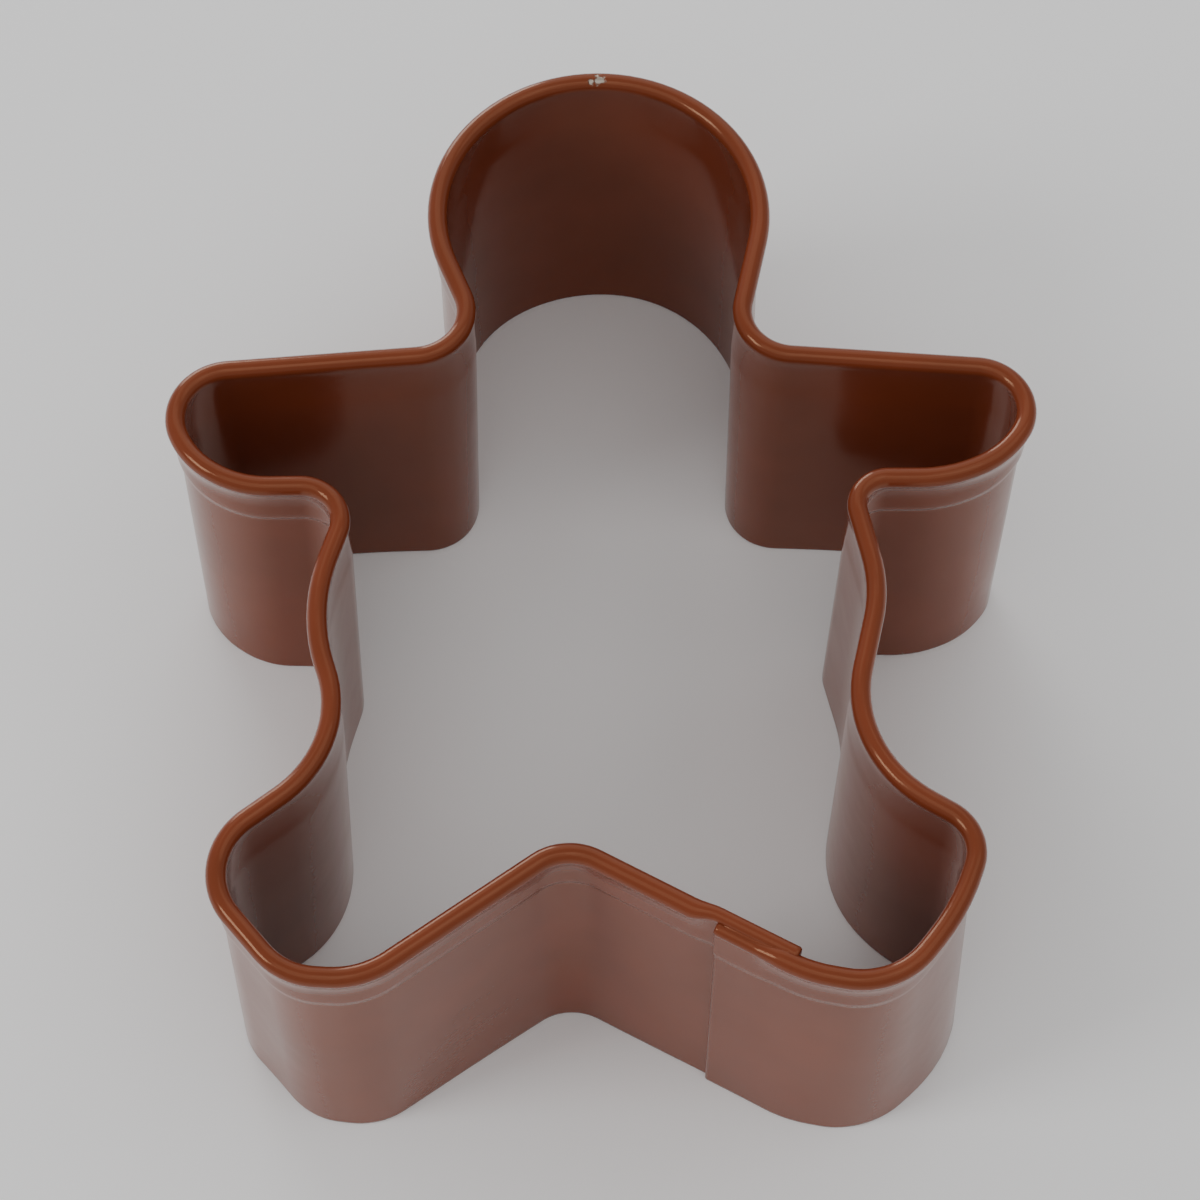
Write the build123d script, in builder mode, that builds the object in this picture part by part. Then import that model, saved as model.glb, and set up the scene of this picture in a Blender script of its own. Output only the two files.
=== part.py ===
from build123d import *
import os
from math import acos, atan2, cos, degrees, radians, sin

# A dough cutter in the outline of a gingerbread figure. One strip of tinplate has its top edge
# hemmed outwards into a rounded rim and is bent round the figure. Its two ends lap on one leg,
# where three spot welds hold them, and the whole is dipped in brown resin.
# It stands on its cutting edge. The origin is on that edge's plane in the middle of the outline,
# +Z runs up to the rim, +Y to the head, and +X to the right as seen from above.

# Sizes over the finished coat, in millimetres.
length = 76.2
depth = 29.0

# The strip, and the resin over it.
sheet = 0.3
coat = 0.19

# The hem: the strip rolls outwards round an open core and comes down outside the wall.
hem_height = 5.0
hem_seam = 0.07
hem_ledge = 0.4
rim_core = 0.21

# The lap, where the roll is squashed to a hairpin and the two rims wedge the walls apart.
lap_gap = 0.1
lap_seam = 0.04
lap_core = 0.03
lap_wedge = 0.16
lap_rim_drop = 0.5

# Where each end of the strip stops and where it regains its full rim, as shares of the lapped
# wall's length from the crotch corner to the sole corner.
inner_full_share = 0.523
inner_squashed_share = 0.628
outer_end_share = 0.644
outer_squashed_share = 0.775
inner_end_share = 0.937
outer_full_share = 0.958

# The weld nuggets stand in one line down the lap and fill the gap between its walls.
weld_radius = 1.2
weld_sides = 12
weld_share = 0.785
weld_height_shares = (0.19, 0.4, 0.6)

# Two small chips in the coat: the dipping hook's on top of the head, and one on the cutting edge
# under the hand on the right, placed as a share of the wall's line.
chip_radius = 0.35
chip_sides = 6
chip_share = 0.7855

# Sides of the cross-sections of the roll, of its open core and of the resin over it.
strip_sides = 3
core_sides = 2
coat_sides = 4
half_turn = 180.0

# The middle line of the wall: each corner is where two straight runs would meet, as shares of
# half the line's length across and along the figure, followed by the share of its bend radius.
head_share = (-0.011, 0.679, 0.3206)
right_neck_share = (0.249, 0.343, 0.112)
right_hand_top_share = (0.894, 0.304, 0.091)
right_hand_tip_share = (0.790, 0.123, 0.157)
right_hand_under_share = (0.677, 0.073, 0.190)
right_armpit_share = (0.474, 0.070, 0.073)
right_chest_share = (0.533, -0.182, 0.312)
right_waist_share = (0.456, -0.546, 0.270)
right_ankle_share = (0.714, -0.700, 0.084)
right_foot_side_share = (0.666, -0.850, 0.455)
right_sole_share = (0.548, -1.003, 0.146)
lap_sole_share = (0.516, 0.108)
crotch_share = (-0.057, -0.725, 0.102)
left_lap_sole_share = (-0.426, -1.002, 0.111)
left_sole_share = (-0.564, -0.996, 0.087)
left_ankle_share = (-0.747, -0.782, 0.129)
left_waist_share = (-0.453, -0.543, 0.250)
left_chest_share = (-0.551, -0.252, 0.385)
left_armpit_share = (-0.465, 0.039, 0.090)
left_hand_under_share = (-0.706, 0.032, 0.113)
left_hand_tip_share = (-0.804, 0.093, 0.092)
left_hand_top_share = (-0.878, 0.267, 0.100)
left_neck_share = (-0.216, 0.336, 0.115)
lap_angle = -28.0

# The roll is bent round its core. The rim stands out from the wall's middle line by its reach,
# which leaves half the line's length.
rim_roll = sheet + rim_core
lap_roll = sheet + lap_core
wall_low = sheet / 2
rim_reach = rim_roll + rim_roll - wall_low + coat
half = length / 2 - rim_reach
hem_low = depth - hem_height


def place(share):
    """The point on the cutting edge's plane that a share names."""
    return Vector(share[0] * half, share[1] * half)


def touch(share, side):
    """The point where the straight run from a neck corner meets the head's arc."""
    centre = place(head_share)
    radius = head_share[2] * half
    reach = place(share) - centre
    angle = atan2(reach.Y, reach.X) + side * acos(radius / reach.length)
    return centre + Vector(cos(angle), sin(angle)) * radius


# The lap lies on the straight wall from the crotch to the foot on the right. Both ends of the
# strip follow that wall, the outer one a sheet and a gap further out.
along_leg = Vector(cos(radians(lap_angle)), sin(radians(lap_angle)))
out_of_leg = along_leg.cross(Vector(0, 0, 1))
inner_line = place(crotch_share)
outer_line = inner_line + out_of_leg * (sheet + lap_gap)
lap_wall = along_leg * (lap_sole_share[0] * half)
lap_sole = outer_line + lap_wall
full_start = inner_line + lap_wall * inner_full_share
full_end = outer_line + lap_wall * outer_full_share

head_right = touch(right_neck_share, 1)
head_left = touch(left_neck_share, -1)
head_top = place(head_share) + Vector(0, head_share[2] * half)

# The figure's corners in the strip's order, from the crotch round the left side to the head and
# from the head down the right side to the sole.
left_corners = (
    crotch_share,
    left_lap_sole_share,
    left_sole_share,
    left_ankle_share,
    left_waist_share,
    left_chest_share,
    left_armpit_share,
    left_hand_under_share,
    left_hand_tip_share,
    left_hand_top_share,
    left_neck_share,
)
right_corners = (
    right_neck_share,
    right_hand_top_share,
    right_hand_tip_share,
    right_hand_under_share,
    right_armpit_share,
    right_chest_share,
    right_waist_share,
    right_ankle_share,
    right_foot_side_share,
    right_sole_share,
)

# Straight runs first, then each corner gets its bend.
with BuildLine() as left_side:
    Polyline(full_start, *[place(corner) for corner in left_corners], head_left)
    for corner in left_corners:
        fillet(left_side.vertices().sort_by_distance(place(corner))[0], corner[2] * half)

with BuildLine() as right_side:
    Polyline(head_right, *[place(corner) for corner in right_corners], lap_sole, full_end)
    for corner in right_corners:
        fillet(right_side.vertices().sort_by_distance(place(corner))[0], corner[2] * half)
    fillet(right_side.vertices().sort_by_distance(lap_sole)[0], lap_sole_share[1] * half)

with BuildLine() as wall_line:
    add(left_side.line)
    ThreePointArc(head_left, head_top, head_right)
    add(right_side.line)


def roll_points(centre, radius, end_reach, sides):
    """Points round a roll, from the wall's face over the top and in under it to the given reach."""
    turn = (half_turn + degrees(acos((end_reach - centre[0]) / radius))) / sides
    angles = [radians(half_turn - turn * side) for side in range(sides + 1)]
    return [(centre[0] + radius * cos(a), centre[1] + radius * sin(a)) for a in angles]


def cut_across(origin, points):
    """A closed outline standing across the strip: x out of the figure, y up the wall."""
    with BuildSketch(Plane(origin, x_dir=out_of_leg, z_dir=-along_leg)) as cut:
        with BuildLine():
            Polyline(*points, close=True)
        make_face()
    return cut.sketch


def lean_at_hem(wedge, height):
    """How far a wedged wall has leant out at the level of the hem's lower edge."""
    return wedge * (hem_low - coat) / (height - coat)


def strip_cut(origin, roll, seam, wedge, height):
    """The folded strip: up the wall, over the rim round an open core, and down outside."""
    centre = (roll - wall_low + wedge, height)
    leg_face = wall_low + seam
    lean = lean_at_hem(wedge, height)
    return cut_across(origin, [
        (-wall_low, coat),
        *roll_points(centre, roll, leg_face + sheet + wedge, strip_sides),
        (leg_face + sheet + lean, hem_low),
        (leg_face + lean, hem_low),
        *reversed(roll_points(centre, roll - sheet, leg_face + wedge, core_sides)),
        (wall_low, coat),
    ])


def room_cut(origin, roll, seam, wedge, height):
    """The room that the folded strip takes in the resin, which bridges the fold's seam."""
    centre = (roll - wall_low + wedge, height)
    leg_back = wall_low + seam + sheet
    lean = lean_at_hem(wedge, height)
    return cut_across(origin, [
        (-wall_low, coat),
        *roll_points(centre, roll, leg_back + wedge, strip_sides),
        (leg_back + lean, hem_low),
        (wall_low + lean, hem_low),
        (wall_low, coat),
    ])


def coat_cut(origin, roll, seam, wedge, height):
    """The resin's outside, which runs out to a ledge under the hem's lower edge."""
    centre = (roll - wall_low + wedge, height)
    leg_back = wall_low + seam + sheet + coat
    lean = lean_at_hem(wedge, height)
    return cut_across(origin, [
        (-wall_low - coat, 0),
        *roll_points(centre, roll + coat, leg_back + wedge, coat_sides),
        (leg_back + lean, hem_low),
        (wall_low + coat + lean, hem_low - hem_ledge),
        (wall_low + coat, 0),
    ])


# The roll, its seam, the wedge and the height of the roll's middle. The rim's crown is a flat of
# the coat's outline at the full depth.
rim_out = rim_roll - wall_low
crown = roll_points((rim_out, 0), rim_roll + coat, wall_low + hem_seam + sheet + coat, coat_sides)
rim_height = depth - max(point[1] for point in crown)
lap_height = depth - coat - lap_roll
full_hem = (rim_roll, hem_seam, 0, rim_height)
inner_hem = (lap_roll, lap_seam, -lap_wedge, lap_height)
outer_hem = (lap_roll, lap_seam, lap_wedge, lap_height - lap_rim_drop)


def lap_cuts(cut, over):
    """The cuts of the two lapped ends, each from its full rim to its squashed end."""
    inner = [
        cut(full_start, *full_hem),
        cut(inner_line + lap_wall * inner_squashed_share, *inner_hem),
        cut(inner_line + lap_wall * inner_end_share + along_leg * over, *inner_hem),
    ]
    outer = [
        cut(full_end, *full_hem),
        cut(outer_line + lap_wall * outer_squashed_share, *outer_hem),
        cut(outer_line + lap_wall * outer_end_share - along_leg * over, *outer_hem),
    ]
    return inner, outer


strip_laps = lap_cuts(strip_cut, 0)
room_laps = lap_cuts(room_cut, 0)
coat_laps = lap_cuts(coat_cut, coat)
round_figure = wall_line.wires()[0]

with BuildPart() as steel_band:
    sweep(strip_laps[0][0], path=round_figure)
    for cuts in strip_laps:
        loft(cuts, ruled=True)

with BuildPart() as strip_room:
    sweep(room_laps[0][0], path=round_figure)
    for cuts in room_laps:
        loft(cuts, ruled=True)

# Each nugget starts as a disc that reaches into both walls and keeps what lies in their gap.
weld_middle = inner_line + out_of_leg * ((sheet + lap_gap) / 2) + lap_wall * weld_share

with BuildPart() as spot_welds:
    for share in weld_height_shares:
        weld_place = weld_middle + Vector(0, 0, share * depth)
        spot = Plane(weld_place, x_dir=along_leg, z_dir=out_of_leg)
        with BuildSketch(spot):
            RegularPolygon(weld_radius, weld_sides)
        extrude(amount=sheet, both=True)
    add(strip_room.part, mode=Mode.SUBTRACT)

with BuildPart() as resin_coating:
    sweep(coat_laps[0][0], path=round_figure)
    for cuts in coat_laps:
        loft(cuts, ruled=True)
    add(strip_room.part, mode=Mode.SUBTRACT)
    add(spot_welds.part, mode=Mode.SUBTRACT)
    with BuildSketch(Plane(head_top + Vector(0, rim_out, depth))):
        RegularPolygon(chip_radius, chip_sides)
    extrude(amount=-coat * 2, mode=Mode.SUBTRACT)
    with BuildSketch(Plane(round_figure.position_at(chip_share))):
        RegularPolygon(chip_radius, chip_sides)
    extrude(amount=coat, mode=Mode.SUBTRACT)

steel_band.part.label = "steel_band"
spot_welds.part.label = "spot_welds"
resin_coating.part.label = "resin_coating"

os.makedirs("parts", exist_ok=True)
export_step(steel_band.part, "parts/steel_band.step")
export_step(spot_welds.part, "parts/spot_welds.step")
export_step(resin_coating.part, "parts/resin_coating.step")
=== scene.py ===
from math import acos, atan2, ceil, cos, exp, radians, sin, tan

import bmesh
import bpy
from mathutils import Matrix, Vector


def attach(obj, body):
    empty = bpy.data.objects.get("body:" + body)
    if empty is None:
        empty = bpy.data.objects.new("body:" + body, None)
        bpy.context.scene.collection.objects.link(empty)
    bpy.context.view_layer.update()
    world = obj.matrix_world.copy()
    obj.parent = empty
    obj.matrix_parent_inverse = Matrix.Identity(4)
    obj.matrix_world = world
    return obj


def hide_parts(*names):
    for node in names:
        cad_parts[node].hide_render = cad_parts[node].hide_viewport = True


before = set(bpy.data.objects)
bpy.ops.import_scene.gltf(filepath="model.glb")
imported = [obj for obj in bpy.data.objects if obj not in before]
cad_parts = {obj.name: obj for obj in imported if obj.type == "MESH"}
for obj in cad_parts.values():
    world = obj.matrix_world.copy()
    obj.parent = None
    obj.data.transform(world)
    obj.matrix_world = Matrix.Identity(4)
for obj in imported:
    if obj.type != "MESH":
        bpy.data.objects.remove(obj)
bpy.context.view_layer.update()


# The steel band. One strip of tinplate has its top edge rolled outwards round an open core and
# hemmed down the outside. It is bent round the figure, and its ends lap on one leg, where both
# rims are squashed. It is made here the same way: one cross-section is drawn out and bent.

mm = 0.001
half_line = 37.04 * mm
depth = 29.0 * mm
hem_line = 24.0 * mm
run_step = 1.2 * mm
bend_step = radians(4.0)
lap_angle = radians(-28.0)

# Each corner of the wall's middle line, as shares of the line's half length, and its bend's radius.
head = (-0.011, 0.679, 0.3206)
left_corners = (
    (-0.057, -0.725, 0.112),
    (-0.426, -1.002, 0.165),
    (-0.564, -0.996, 0.130),
    (-0.747, -0.782, 0.129),
    (-0.453, -0.543, 0.250),
    (-0.551, -0.252, 0.385),
    (-0.465, 0.039, 0.090),
    (-0.706, 0.032, 0.190),
    (-0.804, 0.093, 0.170),
    (-0.878, 0.267, 0.100),
    (-0.216, 0.336, 0.115),
)
right_corners = (
    (0.249, 0.343, 0.112),
    (0.894, 0.304, 0.091),
    (0.790, 0.123, 0.190),
    (0.677, 0.073, 0.260),
    (0.474, 0.070, 0.073),
    (0.533, -0.182, 0.312),
    (0.456, -0.546, 0.270),
    (0.714, -0.700, 0.084),
    (0.666, -0.850, 0.455),
    (0.548, -1.003, 0.146),
)
lap_sole = (0.516, 0.280)
crotch = Vector((left_corners[0][0], left_corners[0][1])) * half_line

# Along the lapped wall, from the crotch's corner: where each rim is full, squashed and cut off.
lap_pitch = 0.4 * mm
lap_lean = 0.16 * mm
inner_full, inner_squashed, inner_end = 10.0 * mm, 12.0 * mm, 18.09 * mm
outer_full, outer_squashed, outer_end = 17.3 * mm, 14.8 * mm, 12.11 * mm
outer_drop = 0.5 * mm
squash_steps = 8
squash = 0.257
squash_side = 0.34 * mm
rim_foot = 28.25 * mm
flat_out = 0.6 * mm
flatten = 0.925
drop_line = 25.0 * mm
end_run = 0.2 * mm
across_reach = 1.2 * mm
along_reach = 0.01 * mm
tiny = 0.001 * mm


def in_lap_frame(x, y):
    """A place on the floor, seen from the crotch's corner with the lapped wall along X."""
    return Matrix.Rotation(-lap_angle, 2) @ (Vector((x, y)) * half_line - crotch)


def arc(out, height, radius, start, end, steps):
    """Points of a cross-section round an arc, from one angle to another in degrees."""
    turns = [radians(start + (end - start) * step / steps) for step in range(steps + 1)]
    return [(out + radius * cos(turn), height + radius * sin(turn)) for turn in turns]


def pick(chosen):
    """Selects the strip's points that pass the test, and nothing else."""
    bpy.ops.mesh.select_mode(type="VERT")
    bpy.ops.mesh.select_all(action="DESELECT")
    shape = bmesh.from_edit_mesh(bpy.context.edit_object.data)
    for point in shape.verts:
        point.select = chosen(point.co)
    shape.select_flush(True)
    bmesh.update_edit_mesh(bpy.context.edit_object.data)


def draw_section(outline):
    """Draws a closed cross-section at the start of the full rim. Its points are places out from
    the wall's middle line and heights, in mm. The outside of the figure is at -Y."""
    places = [Vector((inner_full, -out * mm, height * mm)) for out, height in outline]
    bpy.ops.object.select_all(action="DESELECT")
    bpy.ops.mesh.primitive_plane_add(size=mm, location=places[0])
    bpy.ops.object.transform_apply(location=True, rotation=True, scale=True)
    bpy.ops.object.mode_set(mode="EDIT")
    bpy.ops.mesh.select_mode(type="VERT")
    bpy.ops.mesh.select_all(action="SELECT")
    bpy.ops.mesh.merge(type="CENTER")
    for here, beyond in zip(places, places[1:]):
        bpy.ops.mesh.extrude_vertices_move(TRANSFORM_OT_translate={"value": beyond - here})
    pick(lambda p: (p - places[0]).length < tiny or (p - places[-1]).length < tiny)
    bpy.ops.mesh.edge_face_add()
    bpy.ops.mesh.select_mode(type="EDGE")
    bpy.ops.mesh.select_all(action="SELECT")


def draw_run(way):
    """Draws a straight wall in even steps, so that it can be sprung out of upright later."""
    steps = ceil(way.length / run_step)
    step = way / steps
    bpy.ops.mesh.extrude_repeat(steps=steps, offset=(step.x, step.y, 0))


def bend_round(centre, turn):
    """Bends the selected cross-section round an upright line."""
    steps = ceil(abs(turn) / bend_step)
    bpy.ops.mesh.spin(steps=steps, angle=-turn, center=(centre.x, centre.y, 0), axis=(0, 0, 1))


def follow(start, corners, end):
    """Draws the strip from start to end with a bend at each corner."""
    here = start
    stops = [corner[0] for corner in corners] + [end]
    for (corner, radius), beyond in zip(corners, stops[1:]):
        coming = (corner - here).normalized()
        going = (beyond - corner).normalized()
        turn = atan2(coming.x * going.y - coming.y * going.x, coming.dot(going))
        reach = radius * tan(abs(turn) / 2)
        draw_run(corner - coming * reach - here)
        side = Vector((-coming.y, coming.x)) * (radius if turn > 0 else -radius)
        bend_round(corner - coming * reach + side, turn)
        here = corner + going * reach
    draw_run(end - here)


def touch(corner, side):
    """Where the straight wall from a neck corner meets the head's round."""
    centre = in_lap_frame(head[0], head[1])
    radius = head[2] * half_line
    reach = corner - centre
    angle = atan2(reach.y, reach.x) + side * acos(radius / reach.length)
    return centre + Vector((cos(angle), sin(angle))) * radius


def squash_end(start, way, length, beyond, line, lean, drop, rounding):
    """Draws one lapped end, whose rim goes from the full roll to a hairpin and leans over. Its cut
    end is closed, and rounded off by steps inward and onward."""
    for step in range(squash_steps):
        bpy.ops.mesh.extrude_edges_move(
            TRANSFORM_OT_translate={"value": (way * length / squash_steps, 0, 0)})
    for step in range(1, squash_steps + 1):
        place = start + way * length * step / squash_steps
        share = step / squash_steps
        share = share * share * (3 - 2 * share)
        here = lambda p: abs(p.x - place) < along_reach and abs(p.y - line) < across_reach
        pick(lambda p: here(p) and p.z > rim_foot)
        narrow = 1 - squash * share
        bpy.ops.transform.resize(
            value=(1, narrow, narrow), center_override=(place, line + squash_side, depth))
        pick(lambda p: here(p) and line - p.y > flat_out + tiny and p.z < rim_foot)
        bpy.ops.transform.resize(
            value=(1, 1 - flatten * share, 1), center_override=(place, line - flat_out, 0))
        pick(lambda p: here(p) and p.z > drop_line)
        bpy.ops.transform.translate(value=(0, 0, -drop * share))
        pick(here)
        bpy.ops.transform.rotate(
            value=lean * share / depth, orient_axis="X", center_override=(place, line, 0))
    bpy.ops.mesh.select_mode(type="EDGE")
    onward_all = sum(onward for inward, onward in rounding)
    for run in (beyond - end_run - onward_all, end_run):
        bpy.ops.mesh.extrude_edges_move(TRANSFORM_OT_translate={"value": (way * run, 0, 0)})
    bpy.ops.mesh.edge_face_add()
    for inward, onward in rounding:
        bpy.ops.mesh.inset(thickness=inward)
        bpy.ops.transform.translate(value=(way * onward, 0, 0))


def draw_strip(outline, short, rounding):
    """Draws a cross-section round the whole figure and both its lapped ends, each stopping short
    of the coated end by the length given. The strip stays in edit mode."""
    draw_section(outline)
    left = [(in_lap_frame(x, y), bend * half_line) for x, y, bend in left_corners]
    right = [(in_lap_frame(x, y), bend * half_line) for x, y, bend in right_corners]
    sole = (Vector((lap_sole[0] * half_line, -lap_pitch)), lap_sole[1] * half_line)
    head_centre = in_lap_frame(head[0], head[1])
    head_left, head_right = touch(left[-1][0], -1), touch(right[0][0], 1)
    follow(Vector((inner_full, 0)), left, head_left)
    swing = (head_left - head_centre).angle_signed(head_right - head_centre)
    bend_round(head_centre, -(swing % radians(360)))
    follow(head_right, right + [sole], Vector((outer_full, -lap_pitch)))
    squash_end(
        outer_full, -1, outer_full - outer_squashed, outer_squashed - outer_end - short,
        -lap_pitch, -lap_lean, outer_drop, rounding)
    pick(lambda p: abs(p.x - inner_full) < along_reach and abs(p.y) < across_reach)
    bpy.ops.mesh.select_mode(type="EDGE")
    squash_end(
        inner_full, 1, inner_squashed - inner_full, inner_end - inner_squashed - short,
        0, lap_lean, 0, rounding)


# The bent strip is sprung a little out of upright below its stiff hem, the most at the foot beyond
# the lap. Each row is a place on the wall's line and how far its cutting edge stands off, in mm.
sprung = {
    "crotch": (2, -29, 0.3, -0.3),
    "left_sole": (-14, -36, -0.1, -0.2),
    "left_foot": (-23, -34, 0.3, 0.5),
    "left_ankle": (-24, -26, -0.5, 0.0),
    "left_leg": (-18, -18, -0.5, -0.4),
    "left_waist": (-20, -8, 0.0, -0.4),
    "left_armpit": (-20, 1, -0.4, -0.1),
    "left_hand": (-30, 4, 0.0, 0.3),
    "left_arm": (-17, 12, 0.0, 0.4),
    "left_neck": (-10, 17, -0.4, -0.6),
    "left_cheek": (-12, 26, 0.4, 0.3),
    "crown": (-4, 36, 0.0, -0.4),
    "right_neck": (11, 21, 0.5, -0.3),
    "right_arm": (20, 12, 0.0, 0.3),
    "right_hand": (31, 8, 0.2, 0.2),
    "right_armpit": (24, 3, -0.4, -0.2),
    "right_waist": (19, -3, 0.0, 0.6),
    "right_leg": (21, -22, -0.3, 0.3),
    "right_ankle": (25, -30, 1.3, -0.6),
    "right_sole": (19, -37, -0.5, 0.1),
}
sprung_reach = 6.0
merge_reach = 0.5e-6
smooth_limit = radians(40.0)
# The lift and the shrink keep the finished strip inside the solids' box.
tiny_lift = 0.001 * mm
tiny_shrink = 0.9999


def finish_strip(name):
    """Closes the strip's mesh, stands it on the lapped leg's line and springs its walls."""
    bpy.ops.mesh.select_all(action="SELECT")
    bpy.ops.mesh.remove_doubles(threshold=merge_reach)
    bpy.ops.mesh.normals_make_consistent(inside=False)
    bpy.ops.object.mode_set(mode="OBJECT")
    strip = bpy.context.object
    strip.name = name
    strip.rotation_euler = (0, 0, lap_angle)
    strip.location = (crotch.x, crotch.y, tiny_lift)
    strip.scale = (1, 1, tiny_shrink)
    bpy.ops.object.transform_apply(location=True, rotation=True, scale=True)
    for point in strip.data.vertices:
        share = min(max(1 - point.co.z / hem_line, 0), 1)
        shift = Vector((0, 0, 0))
        for x, y, across, along in sprung.values():
            away = (Vector((x, y)) - Vector((point.co.x, point.co.y)) / mm).length / sprung_reach
            shift += Vector((across, along, 0)) * exp(-away * away / 2)
        point.co += shift * share * mm
    strip.data.update()
    bpy.ops.object.shade_smooth_by_angle(angle=smooth_limit)
    return strip


# The steel goes up the wall, over the roll, down the hem, and back along its other face. Its cut
# ends stop short of the coated ones.
half_sheet = 0.15
strip_foot = 0.19
roll = (0.36, 28.3)
roll_outside, roll_core = 0.51, 0.21
roll_steps = 14
short_end = 0.25 * mm
band_outline = (
    [(-half_sheet, strip_foot), (-half_sheet, 12.0), (-half_sheet, 24.0)]
    + arc(*roll, roll_outside, 180, -30, roll_steps)
    + [(0.74, 27.75), (0.62, 27.0), (0.54, 26.3), (0.52, 25.6), (0.52, 24.3), (0.49, 24.15)]
    + [(0.22, 24.15), (0.22, 25.6), (0.24, 26.3), (0.32, 27.0), (0.44, 27.75)]
    + arc(*roll, roll_core, -30, 180, roll_steps)
    + [(half_sheet, 24.0), (half_sheet, 12.0), (half_sheet, strip_foot)]
)
draw_strip(band_outline, short_end, [])
band = finish_strip("tinned_band")


def add_node(tree, kind, values=(), **settings):
    """Adds a shader node with its settings, and a value or a link for each named input."""
    node = tree.nodes.new(kind)
    for name, setting in settings.items():
        setattr(node, name, setting)
    for name, value in dict(values).items():
        if isinstance(value, bpy.types.NodeSocket):
            tree.links.new(value, node.inputs[name])
        else:
            node.inputs[name].default_value = value
    return node


def new_material(name):
    """A material with its shader, its tree and the object's own coordinates."""
    material = bpy.data.materials.new(name)
    material.use_nodes = True
    tree = material.node_tree
    coords = add_node(tree, "ShaderNodeTexCoord").outputs["Object"]
    return material, tree, tree.nodes["Principled BSDF"], coords


# Uneven patches, used for the metals' gloss and for the resin's colour and gloss.
patches = bpy.data.node_groups.new("uneven_patches", "ShaderNodeTree")
patches.interface.new_socket("Vector", in_out="INPUT", socket_type="NodeSocketVector")
patches.interface.new_socket("Scale", in_out="INPUT", socket_type="NodeSocketFloat")
patches.interface.new_socket("Low", in_out="INPUT", socket_type="NodeSocketFloat")
patches.interface.new_socket("High", in_out="INPUT", socket_type="NodeSocketFloat")
patches.interface.new_socket("Value", in_out="OUTPUT", socket_type="NodeSocketFloat")
given = add_node(patches, "NodeGroupInput").outputs
mottle = add_node(patches, "ShaderNodeTexNoise", {
    "Vector": given["Vector"], "Scale": given["Scale"], "Detail": 2.0, "Roughness": 0.55})
spread = add_node(patches, "ShaderNodeMapRange", {
    "Value": mottle.outputs["Fac"], "From Min": 0.3, "From Max": 0.7,
    "To Min": given["Low"], "To Max": given["High"]})
add_node(patches, "NodeGroupOutput", {"Value": spread.outputs["Result"]})


def uneven(tree, coords, scale, low, high):
    """A value between low and high that changes in patches."""
    group = add_node(tree, "ShaderNodeGroup", node_tree=patches)
    tree.links.new(coords, group.inputs["Vector"])
    for name, value in (("Scale", scale), ("Low", low), ("High", high)):
        group.inputs[name].default_value = value
    return group.outputs["Value"]


tinplate, tree, shader, coords = new_material("bright_tinplate")
shader.inputs["Metallic"].default_value = 1.0
tin = add_node(tree, "ShaderNodeMix", {
    0: uneven(tree, coords, 400.0, 0.0, 1.0),
    6: (0.60, 0.59, 0.56, 1), 7: (0.70, 0.69, 0.66, 1)}, data_type="RGBA")
tree.links.new(tin.outputs[2], shader.inputs["Base Color"])
tree.links.new(uneven(tree, coords, 900.0, 0.22, 0.38), shader.inputs["Roughness"])
band.data.materials.append(tinplate)
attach(band, "root")
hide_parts("steel_band")


# The spot welds. Three nuggets of melted steel stand in one line down the lap. They were made by
# pressing its two walls together between electrodes, and the resin hides them.

weld_metal, tree, shader, coords = new_material("dull_weld_metal")
shader.inputs["Metallic"].default_value = 1.0
melt = add_node(tree, "ShaderNodeMix", {
    0: uneven(tree, coords, 1200.0, 0.0, 1.0),
    6: (0.34, 0.33, 0.32, 1), 7: (0.50, 0.48, 0.46, 1)}, data_type="RGBA")
tree.links.new(melt.outputs[2], shader.inputs["Base Color"])
tree.links.new(uneven(tree, coords, 1600.0, 0.40, 0.62), shader.inputs["Roughness"])
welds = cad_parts["spot_welds"]
welds.data.materials.clear()
welds.data.materials.append(weld_metal)


# The resin skin. The welded band is hung on a hook, dipped in brown resin and baked. One glossy
# film covers every face, rounds off the rolled rim and the cutting edge, and runs into a hollow
# flare below the rim. It is drawn round the figure as the band is.

film_wall = 0.34
bead_radius = 0.74
bead = (0.317, 29.0 - bead_radius)
bead_foot, bead_steps = -24, 21
edge_round = 0.2
edge_steps = 4
flare_top, flare_foot = 27.85, 25.5
flare_out, hem_out = 0.955, 0.6
flare_steps = 9
flare = []
for step in range(1, flare_steps + 1):
    share = 1 - step / flare_steps
    out = hem_out + (flare_out - hem_out) * share ** 2
    flare.append((out, flare_foot + (flare_top - flare_foot) * share))
skin_outline = (
    arc(*bead, bead_radius, 180, bead_foot, bead_steps)
    + [(flare_out, flare_top)]
    + flare
    + [(hem_out, 24.7), (0.592, 24.45), (0.575, 24.25), (0.55, 24.08), (0.5, 23.9), (0.43, 23.75)]
    + [(0.37, 23.58), (0.345, 23.4)]
    + [(film_wall, height) for height in (23.1, 16.0, 8.0, 0.4)]
    + arc(film_wall - edge_round, edge_round, edge_round, 0, -90, edge_steps)
    + arc(edge_round - film_wall, edge_round, edge_round, -90, -180, edge_steps)
    + [(-film_wall, height) for height in (0.4, 8.0, 16.0, 22.8)]
    + [(-0.336, 23.3), (-0.322, 23.8), (-0.294, 24.3), (-0.28, 24.8), (-0.275, 25.8), (-0.29, 26.9)]
    + [(-0.33, 27.55), (-0.375, 27.95)]
)
# The film rounds off the cut ends, by these steps inward and onward.
end_rounding = [(0.04 * mm, 0.12 * mm), (0.05 * mm, 0.06 * mm), (0.08 * mm, 0.03 * mm)]
draw_strip(skin_outline, 0, end_rounding)

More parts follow.
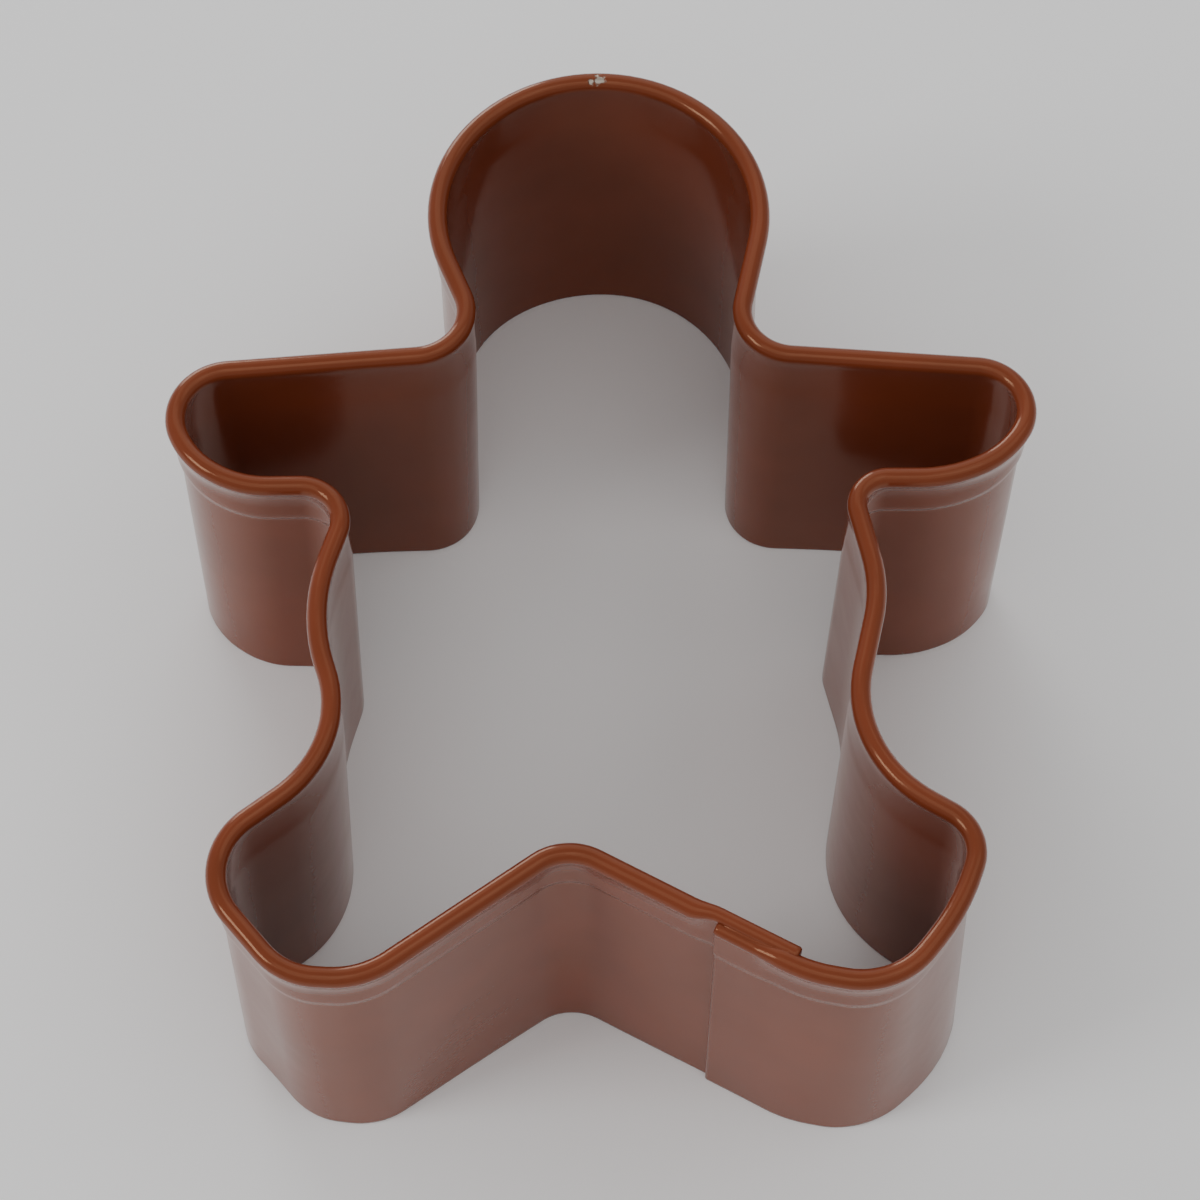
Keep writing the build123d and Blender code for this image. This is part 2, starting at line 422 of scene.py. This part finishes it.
# Resin has run along the groove between the two squashed rims and set there. Each row is a place
# along the groove, its centre's place across and height, and its radius, in mm.
groove = (
    (12.2, -0.335, 28.10, 0.30),
    (12.9, -0.335, 28.17, 0.45),
    (14.8, -0.335, 28.17, 0.45),
    (16.0, -0.290, 28.32, 0.45),
    (17.3, -0.225, 28.50, 0.45),
    (18.0, -0.200, 28.45, 0.30),
)
groove_sides = 24
bpy.ops.mesh.select_all(action="DESELECT")
bpy.ops.mesh.select_mode(type="FACE")
bpy.ops.mesh.primitive_circle_add(
    vertices=groove_sides, radius=groove[0][3] * mm, fill_type="NGON",
    location=Vector(groove[0][:3]) * mm, rotation=(0, radians(90), 0))
for before, after in zip(groove, groove[1:]):
    bpy.ops.mesh.extrude_region_move(
        TRANSFORM_OT_translate={"value": (Vector(after[:3]) - Vector(before[:3])) * mm})
    grown = after[3] / before[3]
    bpy.ops.transform.resize(value=(1, grown, grown), center_override=Vector(after[:3]) * mm)
skin = finish_strip("resin_skin")

resin, tree, shader, coords = new_material("brown_dip_resin")


def bare_spot(place, radius):
    """A mask of a ragged spot where the film is chipped off, with its centre and radius in metres."""
    away = add_node(tree, "ShaderNodeVectorMath", {0: coords, 1: place}, operation="DISTANCE")
    ragged = uneven(tree, coords, 2600.0, -radius * 0.45, radius * 0.45)
    edge = add_node(tree, "ShaderNodeMath", {0: away.outputs["Value"], 1: ragged})
    mask = add_node(tree, "ShaderNodeMapRange", {
        "Value": edge.outputs[0], "From Min": radius * 0.55, "From Max": radius,
        "To Min": 1.0, "To Max": 0.0})
    return mask.outputs["Result"]


# The dipping hook left the head's rim bare, with a speck beside it. The cutting edge is chipped
# under the hand on the right.
bare = bare_spot((-0.00050, 0.03712, 0.02900), 0.00055)
for place, radius in (((-0.00110, 0.03690, 0.0289), 0.00028), ((0.0242, 0.0022, 0.0002), 0.00045)):
    both = add_node(tree, "ShaderNodeMath", {0: bare, 1: bare_spot(place, radius)}, operation="MAXIMUM")
    bare = both.outputs[0]
film = add_node(tree, "ShaderNodeMix", {
    0: uneven(tree, coords, 110.0, 0.0, 1.0),
    6: (0.160, 0.034, 0.0145, 1), 7: (0.192, 0.041, 0.0180, 1)}, data_type="RGBA")
colour = add_node(tree, "ShaderNodeMix", {
    0: bare, 6: film.outputs[2], 7: (0.42, 0.36, 0.30, 1)}, data_type="RGBA")
gloss = add_node(tree, "ShaderNodeMix", {
    2: uneven(tree, coords, 70.0, 0.11, 0.19), 0: bare, 3: 0.42}, data_type="FLOAT")
sag = add_node(tree, "ShaderNodeBump", {
    "Height": uneven(tree, coords, 160.0, 0.0, 1.0), "Strength": 1.0, "Distance": 0.000018})
peel = add_node(tree, "ShaderNodeBump", {
    "Height": uneven(tree, coords, 1500.0, 0.0, 1.0), "Strength": 1.0, "Distance": 0.0000022,
    "Normal": sag.outputs["Normal"]})
chip = add_node(tree, "ShaderNodeBump", {
    "Height": bare, "Strength": 1.0, "Distance": 0.00008, "Normal": peel.outputs["Normal"]}, invert=True)
for name, socket in (
        ("Base Color", colour.outputs[2]), ("Roughness", gloss.outputs[0]),
        ("Metallic", bare), ("Normal", chip.outputs["Normal"])):
    tree.links.new(socket, shader.inputs[name])
shader.inputs["IOR"].default_value = 1.5
shader.inputs["Specular Tint"].default_value = (0.95, 0.60, 0.36, 1)

skin.data.materials.append(resin)
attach(skin, "root")
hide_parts("resin_coating")


# The floor is a plain, pale, dull sheet that the cutter stands on with its cutting edge. It isn't
# part of the object.

bpy.ops.mesh.primitive_plane_add(size=3.0, location=(0, 0, 0))
floor = bpy.context.object
floor.name = "floor"
floor_paint, tree, shader, coords = new_material("pale_floor")
floor_tint = add_node(tree, "ShaderNodeMix", {
    0: uneven(tree, coords, 3.0, 0.0, 1.0),
    6: (0.93, 0.93, 0.93, 1), 7: (0.95, 0.95, 0.95, 1)}, data_type="RGBA")
tree.links.new(floor_tint.outputs[2], shader.inputs["Base Color"])
shader.inputs["Roughness"].default_value = 0.9
shader.inputs["Specular IOR Level"].default_value = 0.1
floor.data.materials.append(floor_paint)


# Soft studio light: an even room with panels round the object. Each is named with its bearing
# from the front toward the right and its height, in degrees, its size in metres and its power.

world = bpy.data.worlds.new("studio")
bpy.context.scene.world = world
world.use_nodes = True
world.node_tree.nodes["Background"].inputs["Color"].default_value = (1, 1, 1, 1)
world.node_tree.nodes["Background"].inputs["Strength"].default_value = 0.47
panel_distance = 0.9
for name, bearing, height, size, power in (
        ("left_panel", 288.0, 38.0, 0.3, 2.1),
        ("upper_left_panel", 330.0, 62.0, 0.6, 0.9),
        ("upper_right_panel", 30.0, 62.0, 0.6, 0.6),
        ("side_right_panel", 90.0, 62.0, 0.6, 0.8),
        ("back_panel", 180.0, 38.0, 0.8, 1.3),
        ("low_back_panel", 202.5, 14.0, 0.4, 2.2)):
    panel = bpy.data.lights.new(name, "AREA")
    panel.shape = "SQUARE"
    panel.size = size
    panel.energy = power
    lamp = bpy.data.objects.new(name, panel)
    bpy.context.collection.objects.link(lamp)
    away = Vector((
        sin(radians(bearing)) * cos(radians(height)),
        -cos(radians(bearing)) * cos(radians(height)),
        sin(radians(height))))
    lamp.location = away * panel_distance
    lamp.rotation_euler = (-away).to_track_quat("-Z", "Y").to_euler()


# The camera stands in front of the feet and above them, looks down on the rim, and is turned a
# little about its own axis, as in the photograph.

view_height = radians(61.42)
view_roll = radians(0.75)
camera_data = bpy.data.cameras.new("camera")
camera_data.sensor_width = 36.0
camera_data.lens = 109.6
camera_data.clip_start = 0.01
camera_data.clip_end = 20.0
camera = bpy.data.objects.new("camera", camera_data)
bpy.context.collection.objects.link(camera)
camera.location = (0.07 * mm, -132.53 * mm, 256.68 * mm)
tipped = Matrix.Rotation(radians(90) - view_height, 3, "X")
camera.rotation_euler = (tipped @ Matrix.Rotation(view_roll, 3, "Z")).to_euler()
bpy.context.scene.camera = camera

bpy.context.view_layer.update()
